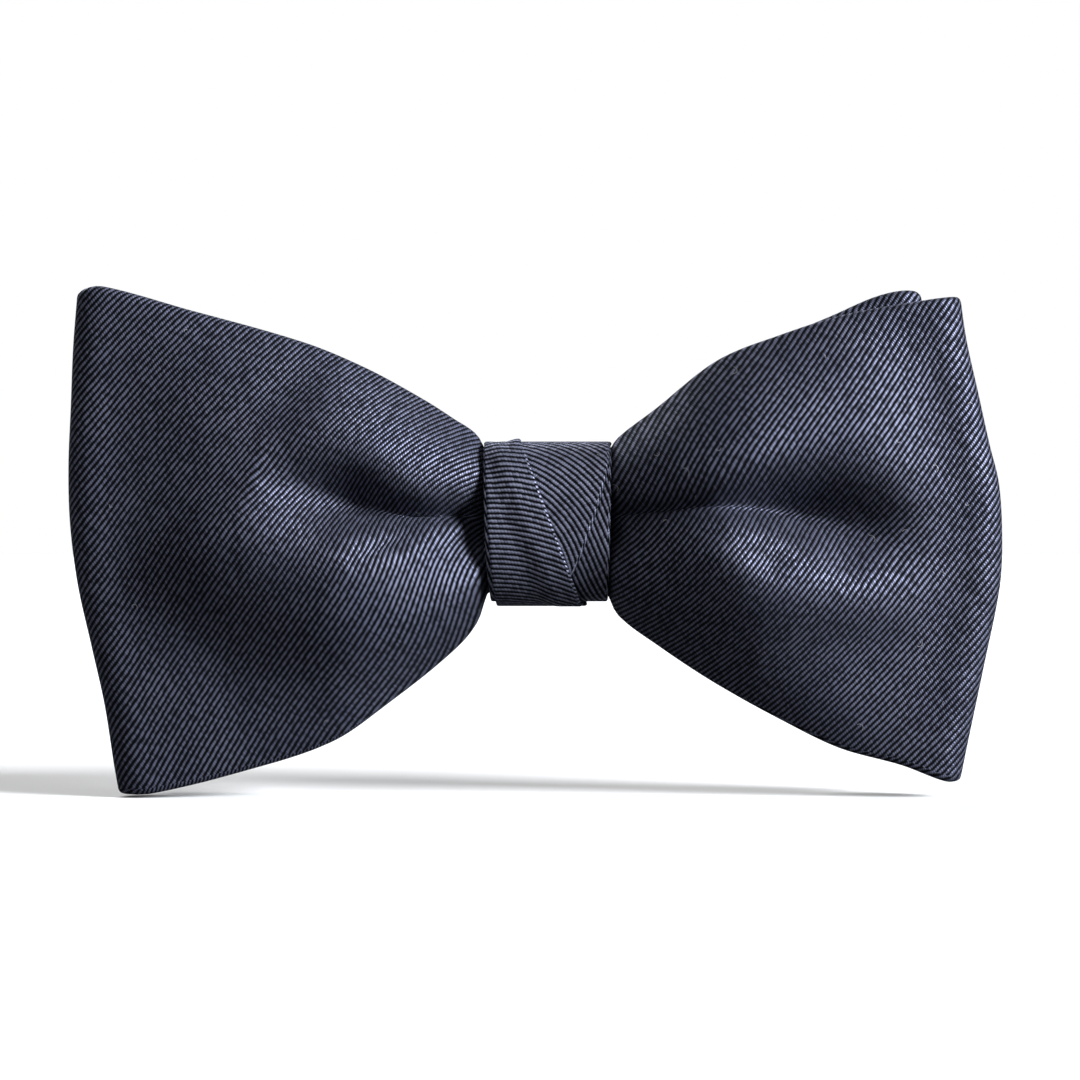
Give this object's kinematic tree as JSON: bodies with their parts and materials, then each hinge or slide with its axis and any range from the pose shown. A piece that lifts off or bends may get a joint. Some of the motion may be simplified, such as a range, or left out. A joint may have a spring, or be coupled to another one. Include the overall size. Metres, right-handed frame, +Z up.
{
  "type": "bow tie",
  "caption": "Pre-tied satin twill bow tie: two gathered cloth bows held by a folded knot wrap, with a sprung steel collar clip stitched to the back of the knot.",
  "frame": {"origin": "middle of the seat pad on the back of the clip, where the tie rests on the front of the collar", "axes": "+X along the tie to the right of the front view, +Y back towards the collar, +Z up"},
  "size_m": [0.1197, 0.0249, 0.065],
  "materials": {
    "twill": "black-navy satin twill with fine diagonal wales and a soft sheen",
    "interlining": "undyed brushed stiffening cloth",
    "thread": "twisted black sewing thread",
    "plated_steel": "nickel-plated stamped steel with fine brush marks",
    "spring_steel": "drawn spring wire"
  },
  "bodies": {
    "bow": {"front_bow_cloth": "twill", "front_bow_interlining": "interlining", "rear_bow_cloth": "twill", "rear_bow_interlining": "interlining", "gathering_thread": "thread", "knot_wrap": "twill", "wrap_seam_thread": "thread", "clip_plate": "plated_steel", "right_hinge_pin": "plated_steel", "left_hinge_pin": "plated_steel", "right_spring": "spring_steel", "left_spring": "spring_steel", "right_clip_stitch": "thread", "left_clip_stitch": "thread"},
    "right_jaw": {"right_jaw": "plated_steel"},
    "left_jaw": {"left_jaw": "plated_steel"}
  },
  "joints": [
    {"name": "right_jaw_open", "type": "hinge", "parent": "bow", "child": "right_jaw", "pos_m": [0.013, 0.0025, 0], "axis": [0, 0, 1], "range_deg": [0, 35], "stiffness_Nm_per_rad": 0.05, "springref_deg": -45.84, "deforming": ["right_spring"]},
    {"name": "left_jaw_open", "type": "hinge", "parent": "bow", "child": "left_jaw", "pos_m": [-0.013, 0.0025, 0], "axis": [0, 0, -1], "range_deg": [0, 35], "stiffness_Nm_per_rad": 0.05, "springref_deg": -45.84, "deforming": ["left_spring"]}
  ]
}
